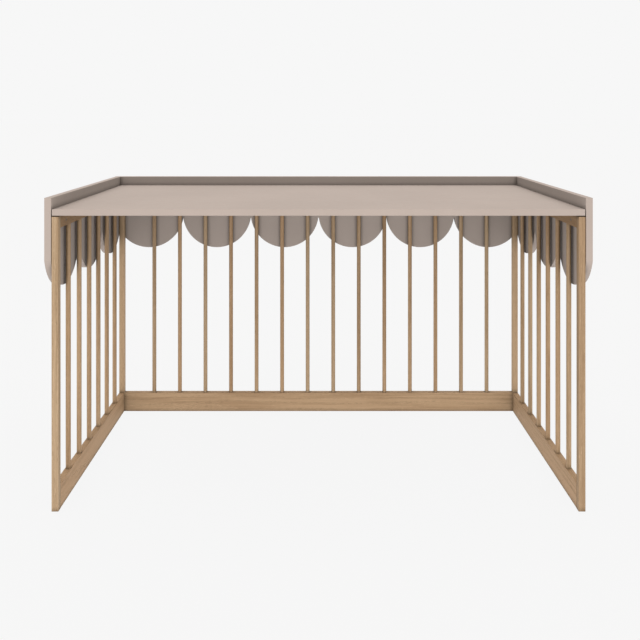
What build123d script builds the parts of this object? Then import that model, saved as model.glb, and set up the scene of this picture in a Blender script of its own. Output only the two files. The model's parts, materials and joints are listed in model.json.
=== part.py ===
from build123d import *
import os
from math import asin, cos, radians, sin, sqrt

# A three-sided spindle playpen frame in oak that carries a lacquered desk top. Scalloped skirt panels hang
# outside its left, back and right sides, and stand above the desk top as a low rim. The front is open.
# Millimetres. The origin is the centre of the footprint on the floor: X to the right, Y to the back, Z up.

# ---- driving dimensions -------------------------------------------------------------------------------
scallop_pitch = 212.0  # width of one half-round scallop
back_scallops = 6
side_scallops = 3
stock = 16.0  # thickness of every post, rail and skirt panel
desktop_thickness = 15.0
total_height = 727.0  # floor to the top of the rim
rim_height = 26.5  # how far the skirt panels stand above the desk top
desktop_gap = 1.5  # clearance round the desk top, so that it lifts out
skirt_gap = 1.0  # between the frame and the skirt panels, held by washers
pad_thickness = 2.5  # bumper between the frame and the desk top
bottom_rail_height = 57.5
top_rail_height = 27.5
skirt_height = 221.0  # top of the rim to the bottom of a scallop
first_side_scallop = 101.0  # centre of the first side scallop, behind the front edge
notch_radius = 1.0  # cutter radius left at the top of each notch between scallops

spindle_diameter = 12.0
back_spindles = 14  # the row stands half a diameter right of centre
side_spindles = 6
side_spindle_gap = 72.9  # clear gap from the front post on, and the rear gap takes what is left
tenon_diameter = 8.0
tenon_length = 10.0
tenon_clearance = 0.2  # below each tenon, in its hole

easing = 1.0  # rounded edges of posts and rails
board_easing = 1.0  # rounded edges of the lacquered boards

# ---- fittings -----------------------------------------------------------------------------------------
hole_clearance = 0.05  # radial room round each glued dowel, screw and nut
dowel_diameter = 6.0
dowel_length = 30.0
dowel_depth_in_post = 10.0
dowel_end_room = 0.5

bolt_diameter = 6.0
bolt_length = 40.0
bolt_head_diameter = 10.0
bolt_head_height = 5.0
bolt_head_pocket = 6.0  # depth of the counterbore
bolt_hole_room = 0.2
bolt_socket = 5.0  # hexagon across flats
bolt_socket_depth = 3.0
nut_diameter = 10.0
nut_length = 12.0
nut_from_joint = 22.0  # from the end of the back rail to the barrel nut

screw_diameter = 3.5
screw_length = 25.0
screw_head_diameter = 7.0
screw_head_height = 2.5
screw_tip = 4.0
screw_point_radius = 0.4
screw_drive = 2.0  # width across the square drive
screw_drive_depth = 1.2

peg_diameter = 6.0
peg_depth = 8.0  # in the post
peg_height = 11.0  # above the post
peg_hole_room = 0.4
peg_hole_depth = 10.0
peg_chamfer = 1.0
pad_diameter = 13.0
pad_hole_room = 0.3

washer_diameter = 10.0
washer_hole_room = 0.2

# Heights of the fittings in the bottom rails, above the floor.
low_bolt_z = 20.0
locating_dowel_z = 31.0
low_dowel_zs = [16.0, 42.0]

# Heights of the fittings in the top rails, above the rails' undersides. The bolt passes between the dowel
# below it and the peg above it.
top_dowel_rise = 4.5
upper_dowel_rise = 15.0
high_bolt_rise = 13.5

back_screw_ends = 557.0  # from the middle to the outermost skirt screws of the back
back_screw_gaps = (2, 6, 10)  # spindle gaps, counted from 0 at the left, that hold the others

cut_past = 1.0  # how far a cutting tool runs out of an open face
flat_within = 0.01  # the thickness below which an edge counts as lying in one plane

# ---- worked out from those ----------------------------------------------------------------------------
width = back_scallops * scallop_pitch
depth = side_scallops * scallop_pitch
scallop_radius = scallop_pitch / 2

front_y = -depth / 2
back_y = depth / 2
board_in_x = width / 2 - stock  # inner face of a side skirt panel
frame_out_x = board_in_x - skirt_gap  # outer and inner faces of the side frames
frame_in_x = frame_out_x - stock
frame_mid_x = (frame_out_x + frame_in_x) / 2
board_in_y = back_y - stock  # inner face of the back skirt panel
frame_out_y = board_in_y - skirt_gap  # outer and inner faces of the back frame
frame_in_y = frame_out_y - stock
frame_mid_y = (frame_out_y + frame_in_y) / 2
post_back_y = front_y + stock  # rear face of a front post
front_post_mid_y = front_y + stock / 2

desktop_top_z = total_height - rim_height
desktop_bottom_z = desktop_top_z - desktop_thickness
frame_top_z = desktop_bottom_z - pad_thickness
top_rail_z = frame_top_z - top_rail_height
scallop_z = total_height - skirt_height + scallop_radius  # height of the scallops' centres

side_pitch = side_spindle_gap + spindle_diameter
side_spindle_ys = [post_back_y + (i + 1) * side_pitch - spindle_diameter / 2 for i in range(side_spindles)]
back_pitch = (2 * frame_in_x - spindle_diameter) / (back_spindles + 1)
back_spindle_xs = [-frame_in_x + spindle_diameter + (i + 1) * back_pitch for i in range(back_spindles)]

top_dowel_z = top_rail_z + top_dowel_rise
upper_dowel_z = top_rail_z + upper_dowel_rise
high_bolt_z = top_rail_z + high_bolt_rise
screw_z = top_rail_z + top_rail_height / 2

# Skirt screws stand midway between spindles, or between an end spindle and a post.
side_screw_ys = [
    (post_back_y + side_spindle_ys[0]) / 2,
    (side_spindle_ys[1] + side_spindle_ys[2]) / 2,
    (side_spindle_ys[3] + side_spindle_ys[4]) / 2,
    (side_spindle_ys[5] + frame_in_y) / 2,
]
back_screw_xs = [-back_screw_ends, back_screw_ends] + [
    (back_spindle_xs[i] + back_spindle_xs[i + 1]) / 2 for i in back_screw_gaps
]
plain_pad_ys = [side_screw_ys[1], side_screw_ys[2]]
plain_pad_xs = [back_screw_xs[2], back_screw_xs[3], back_screw_xs[4]]

LEFT, RIGHT = -1, 1
SIDES = (("left", LEFT), ("right", RIGHT))


# ---- helpers ------------------------------------------------------------------------------------------
def block(x0, x1, y0, y1, z0, z1):
    """A box between two corners."""
    size = (x1 - x0, y1 - y0, z1 - z0)
    middle = ((x0 + x1) / 2, (y0 + y1) / 2, (z0 + z1) / 2)
    return Pos(*middle) * Box(*size)


def bar(x0, x1, y0, y1, z0, z1, along):
    """A length of square-edged stock with its four long edges rounded."""
    body = block(x0, x1, y0, y1, z0, z1)
    return fillet(body.edges().filter_by(along), easing)


def rod(start, direction, length, diameter):
    """A round bar from start, running length along direction."""
    return Plane(origin=start, z_dir=direction) * Cylinder(
        diameter / 2, length, align=(Align.CENTER, Align.CENTER, Align.MIN)
    )


def mirrored(shape, side):
    """The shape as built for the right side, or its mirror image for the left."""
    return shape if side == RIGHT else mirror(shape, about=Plane.YZ)


def cut(body, tools):
    """The body less every tool."""
    for tool in tools:
        body = body - tool
    return body


def group(shapes):
    """Identical separate fittings, kept together as one node."""
    return Compound(children=[solid for shape in shapes for solid in shape.solids()])


# ---- fittings, each as (start, direction) on the right side or the back --------------------------------
# A dowel starts at the joint face. It runs dowel_depth_in_post one way and the rest of its length the other.
def dowel(start, direction):
    back_off = [s - d * dowel_depth_in_post for s, d in zip(start, direction)]
    return rod(back_off, direction, dowel_length, dowel_diameter)


def dowel_hole(start, direction):
    back_off = [s - d * (dowel_depth_in_post + dowel_end_room) for s, d in zip(start, direction)]
    length = dowel_length + 2 * dowel_end_room
    return rod(back_off, direction, length, dowel_diameter + 2 * hole_clearance)


front_post_dowels = [((frame_mid_x, post_back_y, z), (0, 1, 0)) for z in low_dowel_zs] + [
    ((frame_mid_x, post_back_y, z), (0, 1, 0)) for z in (top_dowel_z, upper_dowel_z)
]
rear_top_dowels = [((frame_mid_x, frame_in_y, top_dowel_z), (0, -1, 0))]
rear_foot_dowels = [((frame_mid_x, frame_mid_y, bottom_rail_height), (0, 0, -1))]
corner_dowels = [((frame_in_x, frame_mid_y, locating_dowel_z), (-1, 0, 0))]
side_dowels = front_post_dowels + rear_top_dowels + rear_foot_dowels + corner_dowels


def corner_bolt(z):
    """A socket-head bolt, put in from the outside of a rear corner, along -X."""
    seat_x = frame_out_x - bolt_head_pocket
    shank = rod((seat_x, frame_mid_y, z), (-1, 0, 0), bolt_length, bolt_diameter)
    head = rod((seat_x, frame_mid_y, z), (1, 0, 0), bolt_head_height, bolt_head_diameter)
    outline = RegularPolygon(bolt_socket / 2, 6, major_radius=False)
    face_x = seat_x + bolt_head_height
    socket = extrude(Plane(origin=(face_x, frame_mid_y, z), z_dir=(-1, 0, 0)) * outline, bolt_socket_depth)
    return shank + head - socket


def corner_bolt_hole(z):
    """The counterbore and the clearance hole of a corner bolt."""
    seat_x = frame_out_x - bolt_head_pocket
    pocket = rod(
        (seat_x, frame_mid_y, z),
        (1, 0, 0),
        bolt_head_pocket + cut_past,
        bolt_head_diameter + 2 * bolt_hole_room,
    )
    shank = rod(
        (seat_x, frame_mid_y, z),
        (-1, 0, 0),
        bolt_length + bolt_hole_room,
        bolt_diameter + 2 * bolt_hole_room,
    )
    return pocket + shank


def barrel_nut(z):
    """A cross nut in the back rail, put in from the rear face and drilled for the bolt."""
    x = frame_in_x - nut_from_joint
    body = rod((x, frame_out_y, z), (0, -1, 0), nut_length, nut_diameter)
    thread = rod(
        (x - nut_diameter, frame_mid_y, z), (1, 0, 0), 2 * nut_diameter, bolt_diameter + 2 * hole_clearance
    )
    return body - thread


def barrel_nut_hole(z):
    x = frame_in_x - nut_from_joint
    return rod(
        (x, frame_out_y, z), (0, -1, 0), nut_length + dowel_end_room, nut_diameter + 2 * hole_clearance
    )


def screw_profile(room):
    """A countersunk screw pointing up +Z from its head face at z = 0, with room added all round."""
    head = Cone(
        screw_head_diameter / 2 + room,
        screw_diameter / 2 + room,
        screw_head_height,
        align=(Align.CENTER, Align.CENTER, Align.MIN),
    )
    shank_length = screw_length - screw_tip
    shank = Cylinder(
        screw_diameter / 2 + room, shank_length, align=(Align.CENTER, Align.CENTER, Align.MIN)
    )
    tip = Pos(0, 0, shank_length) * Cone(
        screw_diameter / 2 + room,
        screw_point_radius + room,
        screw_tip,
        align=(Align.CENTER, Align.CENTER, Align.MIN),
    )
    return head + shank + tip


def screw(start, direction):
    half = screw_drive / 2
    drive = block(-half, half, -half, half, -cut_past, screw_drive_depth)
    return Plane(origin=start, z_dir=direction) * (screw_profile(0) - drive)


def screw_hole(start, direction):
    return Plane(origin=start, z_dir=direction) * screw_profile(hole_clearance)


side_screws = [((frame_in_x, y, screw_z), (1, 0, 0)) for y in side_screw_ys]
back_screws = [((x, frame_in_y, screw_z), (0, 1, 0)) for x in back_screw_xs]


def tenon_hole(x, y, face_z, direction):
    """A blind hole for one spindle tenon, starting at the rail face."""
    return rod(
        (x, y, face_z), (0, 0, direction), tenon_length + tenon_clearance, tenon_diameter + 2 * hole_clearance
    )


def peg_places():
    """The tops of the four posts, where the desk top's pegs stand."""
    return [(side * frame_mid_x, y) for _, side in SIDES for y in (front_post_mid_y, frame_mid_y)]


def peg_socket(x, y):
    """The blind hole in a post top that holds a peg."""
    top = (x, y, frame_top_z)
    return rod(top, (0, 0, -1), peg_depth + tenon_clearance, peg_diameter + 2 * hole_clearance)


# ---- the side frames ----------------------------------------------------------------------------------
def front_post(side):
    post = bar(frame_in_x, frame_out_x, front_y, post_back_y, 0, frame_top_z, Axis.Z)
    holes = [dowel_hole(*place) for place in front_post_dowels]
    holes.append(peg_socket(frame_mid_x, front_post_mid_y))
    return mirrored(cut(post, holes), side)


def rear_post(side):
    """Stands on the side bottom rail, at the corner."""
    post = bar(frame_in_x, frame_out_x, frame_in_y, frame_out_y, bottom_rail_height, frame_top_z, Axis.Z)
    holes = [dowel_hole(*place) for place in rear_top_dowels + rear_foot_dowels]
    holes += [corner_bolt_hole(high_bolt_z), peg_socket(frame_mid_x, frame_mid_y)]
    return mirrored(cut(post, holes), side)


def side_bottom_rail(side):
    """Butts the front post's rear face and runs through under the rear post."""
    rail = bar(frame_in_x, frame_out_x, post_back_y, frame_out_y, 0, bottom_rail_height, Axis.Y)
    holes = [dowel_hole(*place) for place in front_post_dowels + rear_foot_dowels + corner_dowels]
    holes += [tenon_hole(frame_mid_x, y, bottom_rail_height, -1) for y in side_spindle_ys]
    holes.append(corner_bolt_hole(low_bolt_z))
    return mirrored(cut(rail, holes), side)


def side_top_rail(side):
    rail = bar(frame_in_x, frame_out_x, post_back_y, frame_in_y, top_rail_z, frame_top_z, Axis.Y)
    holes = [dowel_hole(*place) for place in front_post_dowels + rear_top_dowels]
    holes += [tenon_hole(frame_mid_x, y, top_rail_z, 1) for y in side_spindle_ys]
    holes += [screw_hole(*place) for place in side_screws]
    return mirrored(cut(rail, holes), side)


# ---- the back frame -----------------------------------------------------------------------------------
def back_rail(z0, z1, bolt_z, tenon_face_z, tenon_direction):
    """What the two back rails share: the corner bolts' holes and the spindles' tenon holes."""
    rail = bar(-frame_in_x, frame_in_x, frame_in_y, frame_out_y, z0, z1, Axis.X)
    holes = [
        mirrored(hole, side)
        for _, side in SIDES
        for hole in (corner_bolt_hole(bolt_z), barrel_nut_hole(bolt_z))
    ]
    holes += [tenon_hole(x, frame_mid_y, tenon_face_z, tenon_direction) for x in back_spindle_xs]
    return cut(rail, holes)


def back_bottom_rail():
    rail = back_rail(0, bottom_rail_height, low_bolt_z, bottom_rail_height, -1)
    holes = [mirrored(dowel_hole(*place), side) for _, side in SIDES for place in corner_dowels]
    return cut(rail, holes)


def back_top_rail():
    rail = back_rail(top_rail_z, frame_top_z, high_bolt_z, top_rail_z, 1)
    return cut(rail, [screw_hole(*place) for place in back_screws])


# ---- spindles -----------------------------------------------------------------------------------------
def spindle(x, y):
    """A round spindle between the rails, with a turned tenon at each end."""
    body = rod((x, y, bottom_rail_height), (0, 0, 1), top_rail_z - bottom_rail_height, spindle_diameter)
    span = top_rail_z - bottom_rail_height + 2 * tenon_length
    tenons = rod((x, y, bottom_rail_height - tenon_length), (0, 0, 1), span, tenon_diameter)
    return body + tenons


# ---- desk top -----------------------------------------------------------------------------------------
def desktop():
    """A plain board, dropped between the three rims over four pegs."""
    x = board_in_x - desktop_gap
    board = block(-x, x, front_y, board_in_y - desktop_gap, desktop_bottom_z, desktop_top_z)
    board = fillet(board.edges(), board_easing)
    hole_diameter = peg_diameter + 2 * peg_hole_room
    holes = [rod((x, y, desktop_bottom_z), (0, 0, 1), peg_hole_depth, hole_diameter) for x, y in peg_places()]
    return cut(board, holes)


# ---- skirt panels -------------------------------------------------------------------------------------
def scallop_outline(start, end, centres):
    """The face of a skirt panel in (length, height): straight on top, with a half round about each centre.

    Neighbouring half rounds would meet in an endless slit, so a small arc closes each notch where the slit
    is as wide as the cutter. An end that falls inside a half round is cut off straight.
    """
    reach = scallop_radius + notch_radius
    notch_angle = asin(scallop_radius / reach)  # from straight down to where the notch arc begins
    drop = reach * cos(notch_angle)  # of the notch arc's centre, below the scallops' centres

    def on_scallop(centre, angle):
        return (centre + scallop_radius * sin(angle), scallop_z - scallop_radius * cos(angle))

    def end_angle(centre, edge):
        return asin(max(-1.0, min(1.0, (edge - centre) / scallop_radius)))

    edges = []
    for number, centre in enumerate(centres):
        first, last = number == 0, number == len(centres) - 1
        angle0 = end_angle(centre, start) if first else -notch_angle
        angle1 = end_angle(centre, end) if last else notch_angle
        a, b = on_scallop(centre, angle0), on_scallop(centre, angle1)
        edges.append(ThreePointArc(a, on_scallop(centre, (angle0 + angle1) / 2), b))
        if first:
            edges.append(Line((start, total_height), a))
        if last:
            edges.append(Line(b, (end, total_height)))
        else:
            notch_x = centre + scallop_radius
            top = (notch_x, scallop_z - drop + notch_radius)
            edges.append(ThreePointArc(b, top, on_scallop(centres[number + 1], -notch_angle)))
    edges.append(Line((start, total_height), (end, total_height)))
    return make_face(Wire(edges))


def side_skirt(side):
    """Stands off the side frame by its washers, and its rear end butts the back skirt."""
    centres = [front_y + first_side_scallop + i * scallop_pitch for i in range(side_scallops)]
    face = scallop_outline(front_y, board_in_y, centres)
    panel = extrude(Plane(origin=(board_in_x, 0, 0), x_dir=(0, 1, 0), z_dir=(1, 0, 0)) * face, stock)
    rims = panel.edges().filter_by(lambda edge: is_face_edge(edge, Axis.X, board_in_x))
    panel = fillet(rims, board_easing)
    return mirrored(cut(panel, [screw_hole(*place) for place in side_screws]), side)


def back_skirt():
    """Runs the full width, behind both side skirts."""
    centres = [(i - (back_scallops - 1) / 2) * scallop_pitch for i in range(back_scallops)]
    face = scallop_outline(-width / 2, width / 2, centres)
    panel = extrude(Plane(origin=(0, board_in_y, 0), x_dir=(1, 0, 0), z_dir=(0, -1, 0)) * face, -stock)
    rims = panel.edges().filter_by(lambda edge: is_face_edge(edge, Axis.Y, board_in_y))
    panel = fillet(rims, board_easing)
    return cut(panel, [screw_hole(*place) for place in back_screws])


def is_face_edge(edge, axis, inner):
    """Whether an edge lies in one of a panel's two broad faces."""
    box = edge.bounding_box()
    low, high = (box.min.X, box.max.X) if axis == Axis.X else (box.min.Y, box.max.Y)
    flat = high - low < flat_within
    return flat and min(abs(low - inner), abs(low - inner - stock)) < flat_within


# ---- fittings as groups -------------------------------------------------------------------------------
def frame_dowels():
    return group(mirrored(dowel(*place), side) for _, side in SIDES for place in side_dowels)


def corner_bolts():
    return group(mirrored(corner_bolt(z), side) for _, side in SIDES for z in (low_bolt_z, high_bolt_z))


def corner_barrel_nuts():
    return group(mirrored(barrel_nut(z), side) for _, side in SIDES for z in (low_bolt_z, high_bolt_z))


def skirt_screws():
    at_sides = [mirrored(screw(*place), side) for _, side in SIDES for place in side_screws]
    return group(at_sides + [screw(*place) for place in back_screws])


def skirt_washers():
    """Thin washers on the skirt screws, which keep the skirt panels off the frame."""

    def ring(start, direction):
        """A washer on the frame's outer face, given its screw's start on the inner face."""
        seat = [s + d * stock for s, d in zip(start, direction)]
        outer = rod(seat, direction, skirt_gap, washer_diameter)
        return outer - rod(seat, direction, skirt_gap, screw_diameter + 2 * washer_hole_room)

    at_sides = [mirrored(ring(*place), side) for _, side in SIDES for place in side_screws]
    return group(at_sides + [ring(*place) for place in back_screws])


def desktop_pegs():
    """Upright pegs in the post tops, with chamfered heads, that find the holes in the desk top."""
    pegs = []
    for x, y in peg_places():
        peg = rod((x, y, frame_top_z - peg_depth), (0, 0, 1), peg_depth + peg_height, peg_diameter)
        pegs.append(chamfer(peg.edges().group_by(Axis.Z)[-1], peg_chamfer))
    return group(pegs)


def desktop_pads():
    """Soft bumpers that the desk top rests on: a ring round each peg, and plain discs on the rails."""

    def disc(x, y):
        return rod((x, y, frame_top_z), (0, 0, 1), pad_thickness, pad_diameter)

    hole = peg_diameter + 2 * pad_hole_room
    rings = [disc(x, y) - rod((x, y, frame_top_z), (0, 0, 1), pad_thickness, hole) for x, y in peg_places()]
    plain = [disc(side * frame_mid_x, y) for _, side in SIDES for y in plain_pad_ys]
    plain += [disc(x, frame_mid_y) for x in plain_pad_xs]
    return group(rings + plain)


# ---- every node ---------------------------------------------------------------------------------------
nodes = {}
for name, side in SIDES:
    nodes[f"{name}_front_post"] = front_post(side)
    nodes[f"{name}_rear_post"] = rear_post(side)
    nodes[f"{name}_bottom_rail"] = side_bottom_rail(side)
    nodes[f"{name}_top_rail"] = side_top_rail(side)
    nodes[f"{name}_skirt_panel"] = side_skirt(side)
    for number, y in enumerate(side_spindle_ys, start=1):
        nodes[f"{name}_spindle_{number}"] = spindle(side * frame_mid_x, y)
nodes["back_bottom_rail"] = back_bottom_rail()
nodes["back_top_rail"] = back_top_rail()
nodes["back_skirt_panel"] = back_skirt()
for number, x in enumerate(back_spindle_xs, start=1):
    nodes[f"back_spindle_{number:02d}"] = spindle(x, frame_mid_y)
nodes["desktop"] = desktop()
nodes["frame_dowels"] = frame_dowels()
nodes["corner_bolts"] = corner_bolts()
nodes["corner_barrel_nuts"] = corner_barrel_nuts()
nodes["skirt_screws"] = skirt_screws()
nodes["skirt_washers"] = skirt_washers()
nodes["desktop_pegs"] = desktop_pegs()
nodes["desktop_pads"] = desktop_pads()

os.makedirs("parts", exist_ok=True)
for name, shape in nodes.items():
    export_step(shape, f"parts/{name}.step")
print(len(nodes), "nodes")
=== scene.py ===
import json
import random
import bpy
from math import radians
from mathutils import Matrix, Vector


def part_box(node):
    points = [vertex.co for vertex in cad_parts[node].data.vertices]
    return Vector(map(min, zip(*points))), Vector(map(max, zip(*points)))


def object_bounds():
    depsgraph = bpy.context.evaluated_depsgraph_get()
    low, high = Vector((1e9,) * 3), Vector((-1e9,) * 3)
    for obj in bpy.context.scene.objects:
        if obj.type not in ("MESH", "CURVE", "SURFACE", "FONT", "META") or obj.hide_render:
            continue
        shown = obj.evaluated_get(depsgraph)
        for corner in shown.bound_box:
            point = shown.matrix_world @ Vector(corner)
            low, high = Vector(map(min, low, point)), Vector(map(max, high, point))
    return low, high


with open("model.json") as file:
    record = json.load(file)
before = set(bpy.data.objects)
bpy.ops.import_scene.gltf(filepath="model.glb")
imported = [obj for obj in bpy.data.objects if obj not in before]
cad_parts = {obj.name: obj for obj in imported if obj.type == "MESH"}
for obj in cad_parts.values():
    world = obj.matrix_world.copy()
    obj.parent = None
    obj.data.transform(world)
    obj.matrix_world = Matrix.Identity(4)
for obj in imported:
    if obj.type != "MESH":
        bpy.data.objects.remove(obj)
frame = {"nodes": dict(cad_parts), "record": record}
cad_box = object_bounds()
nodes = frame["nodes"]
slot_of = {part["node"]: part["material_slot"] for part in frame["record"]["subparts"]}
low, high = cad_box

# ---- the photograph's camera, in metres from the middle of the open front ------------------------------
CAMERA_DISTANCE = 1.774  # in front of the front posts
CAMERA_HEIGHT = 0.9176
SENSOR_HEIGHT = 36.0  # the picture is fitted by height
SENSOR_WIDTH = 20.0
LENS = 43.057
SHIFT_X = 0.0023
SHIFT_Y = -0.3193
LEVEL = (radians(90), 0, 0)  # turns a camera or a lamp from looking down to looking back, along +Y

# ---- light ---------------------------------------------------------------------------------------------
BACKDROP = 0.930  # the pale grey-white of the studio, as seen by the camera
WALLS = (0.350, 0.322, 0.294)  # what the studio's walls give at eye level, a little warm
CEILING = (0.870, 0.870, 0.870)  # what its ceiling adds overhead
FILL_STRENGTH = 8.0  # watts per square metre of the low panel in front, which lights the space under the desk
FILL_COLOUR = (1.000, 0.945, 0.875)
FILL_SIZE = (1.9, 0.9)
FILL_PLACE = (0.0, -2.6, 0.45)
FLOOR_SHADE = 0.03  # the share of the floor that takes shadow
FLOOR_LIGHT = 0.79  # what the floor gives the object from below
FLOOR_SIZE = 200.0

# ---- colours (linear) ----------------------------------------------------------------------------------
GREIGE = (0.573, 0.487, 0.438)
OAK_PALE = (0.650, 0.452, 0.280)
OAK_DEEP = (0.425, 0.272, 0.156)
OAK_PORE = (0.190, 0.112, 0.060)
BEECH = (0.560, 0.400, 0.260)
ZINC = (0.320, 0.295, 0.265)
NYLON = (0.100, 0.085, 0.075)
RUBBER = (0.030, 0.025, 0.022)

PAINTED_SHADE = (0.030, 0.016, 0.008)  # the colour of the painted shade in joints and corners
PAINTED_SHADE_REACH = 0.012  # how near another surface must be for the painted shade to darken a colour, in metres
PAINTED_SHADE_DEPTH = 0.85  # and how much, in the tightest corners
PAINTED_SHADE_SAMPLES = 6

# ---- the figure of the oak -----------------------------------------------------------------------------
# Features to a metre, across the grain both ways and along it.
WANDER_SCALE = (7.0, 7.0, 1.1)
STREAK_SCALE = (95.0, 95.0, 2.6)
LINE_SCALE = (330.0, 330.0, 6.0)
FIBRE_SCALE = (1100.0, 1100.0, 16.0)
PORE_SCALE = (2100.0, 2100.0, 75.0)
RAY_SCALE = (420.0, 420.0, 85.0)
RINGS = 260.0  # growth rings to a metre
WANDER = (0.030, 0.030, 0.0)  # how far the fibres wander sideways, in metres
PITH_REACH = (0.9, 0.5)  # how far off the pith may lie, in metres
FIGURE_REACH = 9  # how far apart in the noise two pieces may be taken, in metres

# What each feature does. The first two numbers are where it starts and ends, and the last two what it gives.
LATE_WOOD = (0.15, 0.95, 0.0, 1.0)  # over one ring
EARLY_WOOD = (0.0, 0.45, 1.0, 0.0)
LATE_TONE = 0.22
STREAK_TONE = (0.30, 0.72, 0.0, 0.52)
LINE_TONE = (0.30, 0.70, -0.10, 0.18)
FIBRE_TONE = (0.25, 0.75, -0.12, 0.16)
RAY_TONE = (0.62, 0.70, 0.0, 0.22)  # the rays' flecks are paler
PORE = (0.53, 0.62, 0.0, 1.0)
PORE_BY_RING = (0.0, 1.0, 0.18, 1.0)  # few pores in late wood
PORE_COLOUR = 0.50
PALE_TO_DEEP = (-0.05, 1.05, 0.0, 1.0)
FIBRE_RELIEF = 0.35  # against a pore's depth of 1
OAK_ROUGHNESS = (0.2, 1.4, 0.50, 0.72)
OAK_BUMP = (0.35, 0.00025)  # strength, and distance in metres

# How much darker (+) and how much cooler (+) some pieces of oak are than the common board. Part of this
# darkness is painted light and shade, not the wood's own tone: the top rails, in the shade under the board,
# are painted darker, and the rear posts are painted lighter. The rest vary by chance within these ranges.
TONE_RANGE = 0.12
COOL_RANGE = 0.8
OAK_TONES_WITH_PAINTED_SHADE = {
    "left_front_post": (0.10, 0.9),
    "right_front_post": (0.38, 0.6),
    "left_rear_post": (-0.40, 0.0),
    "right_rear_post": (-0.34, 0.0),
    "left_bottom_rail": (-0.26, -0.9),
    "right_bottom_rail": (-0.26, -0.7),
    "back_bottom_rail": (-0.06, -0.3),
    "left_top_rail": (0.45, -0.6),
    "right_top_rail": (0.45, -0.6),
}
GREEN_SHIFT = 0.060  # how far the green and the blue rise in the coolest piece
BLUE_SHIFT = 0.110

# ---- the lacquer: features to a metre ------------------------------------------------------------------
MOTTLE_SCALE = 5.0
BROAD_SCALE = 60.0
PEEL_SCALE = 420.0
MOTTLE_DARKER = 0.975
MOTTLE_LIGHTER = 1.020
LACQUER_REACH = 5  # how far apart in the noise two panels may be taken, in metres
LACQUER_ROUGHNESS = (0.3, 0.7, 0.50, 0.58)
LACQUER_BUMP = (0.10, 0.00015)

# ---- the small parts -----------------------------------------------------------------------------------
BEECH_SCALE = (600.0, 600.0, 60.0)
BEECH_FLECKS = (0.35, 0.7)
BEECH_DARKER = 0.72
BEECH_BUMP = (0.25, 0.0002)
ZINC_MARK_SCALE = (300.0, 300.0, 3000.0)
ZINC_CLOUD_SCALE = 260.0
ZINC_DULLER = 0.80
ZINC_ROUGHNESS = (0.3, 0.7, 0.26, 0.42)
ZINC_BUMP = (0.15, 0.0001)
GRIT = (0.4, 0.8)

SATIN = 0.10  # the specular level of oiled wood and of satin lacquer

# A noise's detail and roughness, and the part of its range that most of it fills.
SMOOTH = (1.0, 0.5)
EVEN = (2.0, 0.5)
ROUGH = (2.0, 0.6)
STREAKY = (3.0, 0.55)
CLOUDY = (3.0, 0.6)
MIDDLE = (0.3, 0.7)

X, Y, Z = 0, 1, 2


# ---- node helpers --------------------------------------------------------------------------------------
class Graph:
    """The node tree of a material or a world, with short calls to add and link nodes."""

    def __init__(self, name, kind="materials", shader="Principled BSDF"):
        self.owner = getattr(bpy.data, kind).new(name)
        self.owner.use_nodes = True
        self.tree = self.owner.node_tree
        self.shader = self.tree.nodes[shader]

    def add(self, kind, settings=None, **inputs):
        made = self.tree.nodes.new(kind)
        for key, value in (settings or {}).items():
            setattr(made, key, value)
        for key, value in inputs.items():
            self.feed(made, key.replace("_", " "), value)
        return made

    def feed(self, made, key, value):
        """Sets an input, by name or number, to a constant or to another node's output."""
        socket = made.inputs[key]
        if isinstance(value, bpy.types.NodeSocket):
            self.tree.links.new(value, socket)
        else:
            socket.default_value = value

    def place(self, kind="Object"):
        return self.add("ShaderNodeTexCoord").outputs[kind]

    def math(self, operation, *operands):
        made = self.add("ShaderNodeMath", {"operation": operation})
        for number, operand in enumerate(operands):
            self.feed(made, number, operand)
        return made.outputs[0]

    def vector(self, operation, *operands):
        made = self.add("ShaderNodeVectorMath", {"operation": operation})
        for number, operand in enumerate(operands):
            self.feed(made, number, operand)
        return made.outputs["Value" if operation == "LENGTH" else "Vector"]

    def noise(self, coordinate, scale, character):
        detail, roughness = character
        settings = {"Scale": scale, "Detail": detail, "Roughness": roughness}
        return self.add("ShaderNodeTexNoise", Vector=coordinate, **settings).outputs["Fac"]

    def stretched(self, coordinate, scales, character):
        """Noise with its own scale along each axis."""
        return self.noise(self.vector("MULTIPLY", coordinate, scales), 1.0, character)

    def ramp(self, value, start, end, at_start=0.0, at_end=1.0):
        """An eased change from at_start to at_end, level before start and after end."""
        made = self.add("ShaderNodeMapRange", {"clamp": True, "interpolation_type": "SMOOTHSTEP"})
        for number, entry in enumerate((value, start, end, at_start, at_end)):
            self.feed(made, number, entry)
        return made.outputs[0]

    def mix(self, factor, a, b):
        """Two colours mixed. Sockets 6 and 7 of Blender's mix node are its colours."""
        made = self.add("ShaderNodeMix", {"data_type": "RGBA"})
        self.feed(made, 0, factor)
        self.feed(made, 6, a if isinstance(a, bpy.types.NodeSocket) else (*a, 1.0))
        self.feed(made, 7, b if isinstance(b, bpy.types.NodeSocket) else (*b, 1.0))
        return made.outputs[2]

    def with_painted_shade(self, colour):
        """The colour with painted shade, from ambient occlusion: darker in joints and close beside other
        pieces.
        """
        near = self.add("ShaderNodeAmbientOcclusion", {"samples": PAINTED_SHADE_SAMPLES}, Distance=PAINTED_SHADE_REACH)
        shut_in = self.math("SUBTRACT", 1.0, near.outputs["AO"])
        return self.mix(self.math("MULTIPLY", shut_in, PAINTED_SHADE_DEPTH), colour, PAINTED_SHADE)

    def bump(self, height, strength, distance):
        made = self.add("ShaderNodeBump", Height=height, Strength=strength, Distance=distance)
        self.feed(self.shader, "Normal", made.outputs["Normal"])

    def finish(self, **shader_inputs):
        for key, value in shader_inputs.items():
            self.feed(self.shader, key.replace("_", " "), value)
        return self.owner


def times(colour, factor):
    return tuple(channel * factor for channel in colour)


# ---- materials -----------------------------------------------------------------------------------------
def cooled(colour, amount):
    """The colour a little greener and bluer, or a little redder when amount is negative."""
    red, green, blue = colour
    return (red, green * (1 + GREEN_SHIFT * amount), blue * (1 + BLUE_SHIFT * amount))


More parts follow.
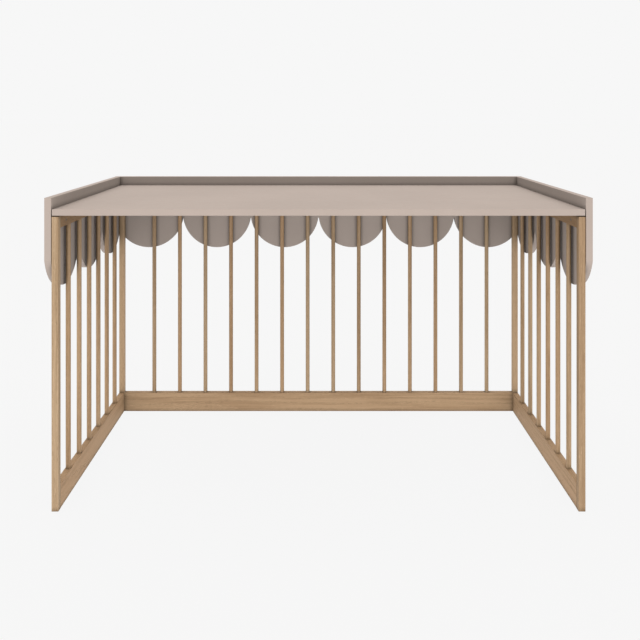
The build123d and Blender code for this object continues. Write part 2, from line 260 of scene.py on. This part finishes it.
def along_z(g, along):
    """Object coordinates with their axes in another order, so that the grain runs along Z."""
    parts = g.add("ShaderNodeSeparateXYZ", Vector=g.place())
    order = {X: (Y, Z, X), Y: (X, Z, Y), Z: (X, Y, Z)}[along]
    turned = g.add("ShaderNodeCombineXYZ")
    for target, source in zip(("X", "Y", "Z"), order):
        g.feed(turned, target, parts.outputs[source])
    return turned.outputs[0]


def oak(name, along, seed, piece):
    """Oiled oak with its grain along one axis. The figure is solid, so cut ends show end grain."""
    pick = random.Random(seed)
    offset = [pick.uniform(-FIGURE_REACH, FIGURE_REACH) for _ in range(3)]
    pith = [pick.uniform(-reach, reach) - moved for reach, moved in zip(PITH_REACH, offset)]
    chance = (pick.uniform(-TONE_RANGE, TONE_RANGE), pick.uniform(-COOL_RANGE, COOL_RANGE))
    # For the listed pieces the darker tone is partly painted shade or painted light.
    darker, cooler = OAK_TONES_WITH_PAINTED_SHADE.get(piece, chance)
    g = Graph(name)
    grain = g.vector("ADD", along_z(g, along), offset)

    # Slow wander of the fibres along the length.
    drawn_out = g.vector("MULTIPLY", grain, WANDER_SCALE)
    wander = g.add("ShaderNodeTexNoise", Vector=drawn_out, Scale=1.0, Detail=2.0)
    centred = g.vector("SUBTRACT", wander.outputs["Color"], (0.5, 0.5, 0.5))
    bent = g.vector("ADD", grain, g.vector("MULTIPLY", centred, WANDER))

    # Growth rings about a pith that lies off to one side of the piece.
    across = g.vector("MULTIPLY", g.vector("ADD", bent, (*pith, 0.0)), (1.0, 1.0, 0.0))
    ring = g.math("FRACT", g.math("MULTIPLY", g.vector("LENGTH", across), RINGS))
    late_wood = g.ramp(ring, *LATE_WOOD)
    early_wood = g.ramp(ring, *EARLY_WOOD)

    # Broad and narrow streaks and fine fibres, all drawn out along the grain.
    streaks = g.stretched(bent, STREAK_SCALE, STREAKY)
    lines = g.stretched(bent, LINE_SCALE, ROUGH)
    fibres = g.stretched(bent, FIBRE_SCALE, ROUGH)

    # Short open pores, close together in the early wood, and the pale flecks of the rays.
    pores = g.stretched(bent, PORE_SCALE, SMOOTH)
    pore = g.math("MULTIPLY", g.ramp(pores, *PORE), g.ramp(early_wood, *PORE_BY_RING))
    fleck = g.ramp(g.stretched(bent, RAY_SCALE, SMOOTH), *RAY_TONE)

    tone = g.math("ADD", g.math("MULTIPLY", late_wood, LATE_TONE), g.ramp(streaks, *STREAK_TONE))
    tone = g.math("ADD", tone, g.ramp(lines, *LINE_TONE))
    tone = g.math("ADD", tone, g.ramp(fibres, *FIBRE_TONE))
    tone = g.math("SUBTRACT", g.math("ADD", tone, darker), fleck)
    wood = g.mix(g.ramp(tone, *PALE_TO_DEEP), cooled(OAK_PALE, cooler), cooled(OAK_DEEP, cooler))
    colour = g.mix(g.math("MULTIPLY", pore, PORE_COLOUR), wood, OAK_PORE)

    g.bump(g.math("SUBTRACT", g.math("MULTIPLY", fibres, FIBRE_RELIEF), pore), *OAK_BUMP)
    g.feed(g.shader, "Roughness", g.ramp(g.math("ADD", fibres, pore), *OAK_ROUGHNESS))
    # The oak's base colour carries painted shade in joints and beside other pieces.
    g.feed(g.shader, "Base Color", g.with_painted_shade(colour))
    return g.finish(Specular_IOR_Level=SATIN)


def lacquer(name, seed):
    """Satin lacquer sprayed on fibreboard: an even colour with a faint mottle and a very fine orange peel."""
    pick = random.Random(seed)
    offset = [pick.uniform(-LACQUER_REACH, LACQUER_REACH) for _ in range(3)]
    g = Graph(name)
    moved = g.vector("ADD", g.place(), offset)
    mottle = g.noise(moved, MOTTLE_SCALE, STREAKY)
    colour = g.mix(g.ramp(mottle, *MIDDLE), times(GREIGE, MOTTLE_DARKER), times(GREIGE, MOTTLE_LIGHTER))
    # The lacquer's base colour carries painted shade in joints and beside other pieces.
    g.feed(g.shader, "Base Color", g.with_painted_shade(colour))
    peel = g.noise(moved, PEEL_SCALE, EVEN)
    broad = g.noise(moved, BROAD_SCALE, EVEN)
    g.feed(g.shader, "Roughness", g.ramp(broad, *LACQUER_ROUGHNESS))
    g.bump(g.math("ADD", peel, broad), *LACQUER_BUMP)
    return g.finish(Specular_IOR_Level=SATIN)


def beech(name):
    """Dowels and pegs: a plain pale wood with short flecks."""
    g = Graph(name)
    flecks = g.stretched(g.place(), BEECH_SCALE, EVEN)
    g.feed(g.shader, "Base Color", g.mix(g.ramp(flecks, *BEECH_FLECKS), BEECH, times(BEECH, BEECH_DARKER)))
    g.bump(flecks, *BEECH_BUMP)
    return g.finish(Roughness=0.62)


def zinc(name):
    """Dull zinc plating with fine turning marks."""
    g = Graph(name)
    place = g.place()
    marks = g.stretched(place, ZINC_MARK_SCALE, ROUGH)
    cloud = g.noise(place, ZINC_CLOUD_SCALE, CLOUDY)
    g.feed(g.shader, "Base Color", g.mix(g.ramp(cloud, *MIDDLE), ZINC, times(ZINC, ZINC_DULLER)))
    g.feed(g.shader, "Roughness", g.ramp(marks, *ZINC_ROUGHNESS))
    g.bump(marks, *ZINC_BUMP)
    return g.finish(Metallic=1.0)


def gritty(name, colour, paler, scale, bump, **shader_inputs):
    """A moulded material with a fine grit, which is paler by a factor."""
    g = Graph(name)
    grit = g.noise(g.place(), scale, ROUGH)
    g.feed(g.shader, "Base Color", g.mix(g.ramp(grit, *GRIT), colour, times(colour, paler)))
    g.bump(grit, *bump)
    return g.finish(**shader_inputs)


def rubber(name):
    shader = {"Roughness": 0.85, "Specular_IOR_Level": 0.25}
    return gritty(name, RUBBER, paler=1.8, scale=2400.0, bump=(0.3, 0.0002), **shader)


def nylon(name):
    return gritty(name, NYLON, paler=1.25, scale=1800.0, bump=(0.15, 0.0001), Roughness=0.55)


def longest_axis(node):
    lo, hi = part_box(node)
    extents = [b - a for a, b in zip(lo, hi)]
    return extents.index(max(extents))


def paint(node, material):
    """Gives a CAD node one material on all of its faces."""
    mesh = nodes[node].data
    mesh.materials.clear()
    mesh.materials.append(material)
    for polygon in mesh.polygons:
        polygon.material_index = 0


shared = {
    "beech_dowel": beech("beech"),
    "zinc_steel": zinc("zinc"),
    "nylon": nylon("nylon"),
    "bumper_rubber": rubber("rubber"),
}
for number, node in enumerate(sorted(nodes)):
    slot = slot_of[node]
    if slot == "oak":
        paint(node, oak(f"oak_{node}", longest_axis(node), number, node))
    elif slot == "greige_lacquer":
        paint(node, lacquer(f"lacquer_{node}", number))
    else:
        paint(node, shared[slot])


# ---- floor ---------------------------------------------------------------------------------------------
def floor():
    """A wide floor that glows like the backdrop, and takes a faint shadow."""
    half = FLOOR_SIZE / 2
    corners = [(-half, -half, 0), (half, -half, 0), (half, half, 0), (-half, half, 0)]
    mesh = bpy.data.meshes.new("studio_floor")
    mesh.from_pydata(corners, [], [(0, 1, 2, 3)])
    plane = bpy.data.objects.new("studio_floor", mesh)
    bpy.context.scene.collection.objects.link(plane)

    g = Graph("studio_floor")
    seen = g.add("ShaderNodeLightPath").outputs["Is Camera Ray"]
    glow = g.ramp(seen, 0.0, 1.0, FLOOR_LIGHT, BACKDROP * (1 - FLOOR_SHADE))
    shade = (FLOOR_SHADE, FLOOR_SHADE, FLOOR_SHADE, 1.0)
    g.finish(Base_Color=shade, Roughness=1.0, Specular_IOR_Level=0.0)
    g.finish(Emission_Color=(1.0, 1.0, 1.0, 1.0), Emission_Strength=glow)
    mesh.materials.append(g.owner)
    return plane


# ---- light and camera ----------------------------------------------------------------------------------
def studio_light():
    """A pale room that is brighter overhead. The camera sees its walls as the even backdrop."""
    g = Graph("studio", "worlds", "Background")
    height = g.add("ShaderNodeSeparateXYZ", Vector=g.place("Generated")).outputs["Z"]
    given = g.vector("MULTIPLY_ADD", height, CEILING, WALLS)
    seen = g.add("ShaderNodeLightPath").outputs["Is Camera Ray"]
    bpy.context.scene.world = g.finish(Color=g.mix(seen, given, (BACKDROP, BACKDROP, BACKDROP)))


def fill_light(studio_floor):
    """The low panel in front. It leaves the floor out, which would show where the panel stands."""
    data = bpy.data.lights.new("fill", "AREA")
    data.shape = "RECTANGLE"
    data.size, data.size_y = FILL_SIZE
    data.color = FILL_COLOUR
    data.energy = FILL_STRENGTH * FILL_SIZE[0] * FILL_SIZE[1]
    light = bpy.data.objects.new("fill", data)
    light.location = FILL_PLACE
    light.rotation_euler = LEVEL
    light.visible_camera = False
    bpy.context.scene.collection.objects.link(light)
    left_out = bpy.data.collections.new("not_lit_by_fill")
    left_out.objects.link(studio_floor)
    left_out.collection_objects[0].light_linking.link_state = "EXCLUDE"
    light.light_linking.receiver_collection = left_out


def camera():
    data = bpy.data.cameras.new("camera")
    data.sensor_fit = "VERTICAL"
    data.sensor_height = SENSOR_HEIGHT
    data.sensor_width = SENSOR_WIDTH
    data.lens = LENS
    data.shift_x = SHIFT_X
    data.shift_y = SHIFT_Y
    made = bpy.data.objects.new("camera", data)
    made.location = ((low.x + high.x) / 2, low.y - CAMERA_DISTANCE, CAMERA_HEIGHT)
    made.rotation_euler = LEVEL
    bpy.context.scene.collection.objects.link(made)
    bpy.context.scene.camera = made


studio_light()
fill_light(floor())
camera()
bpy.context.scene.view_settings.view_transform = "Standard"
bpy.context.scene.cycles.diffuse_bounces = 0
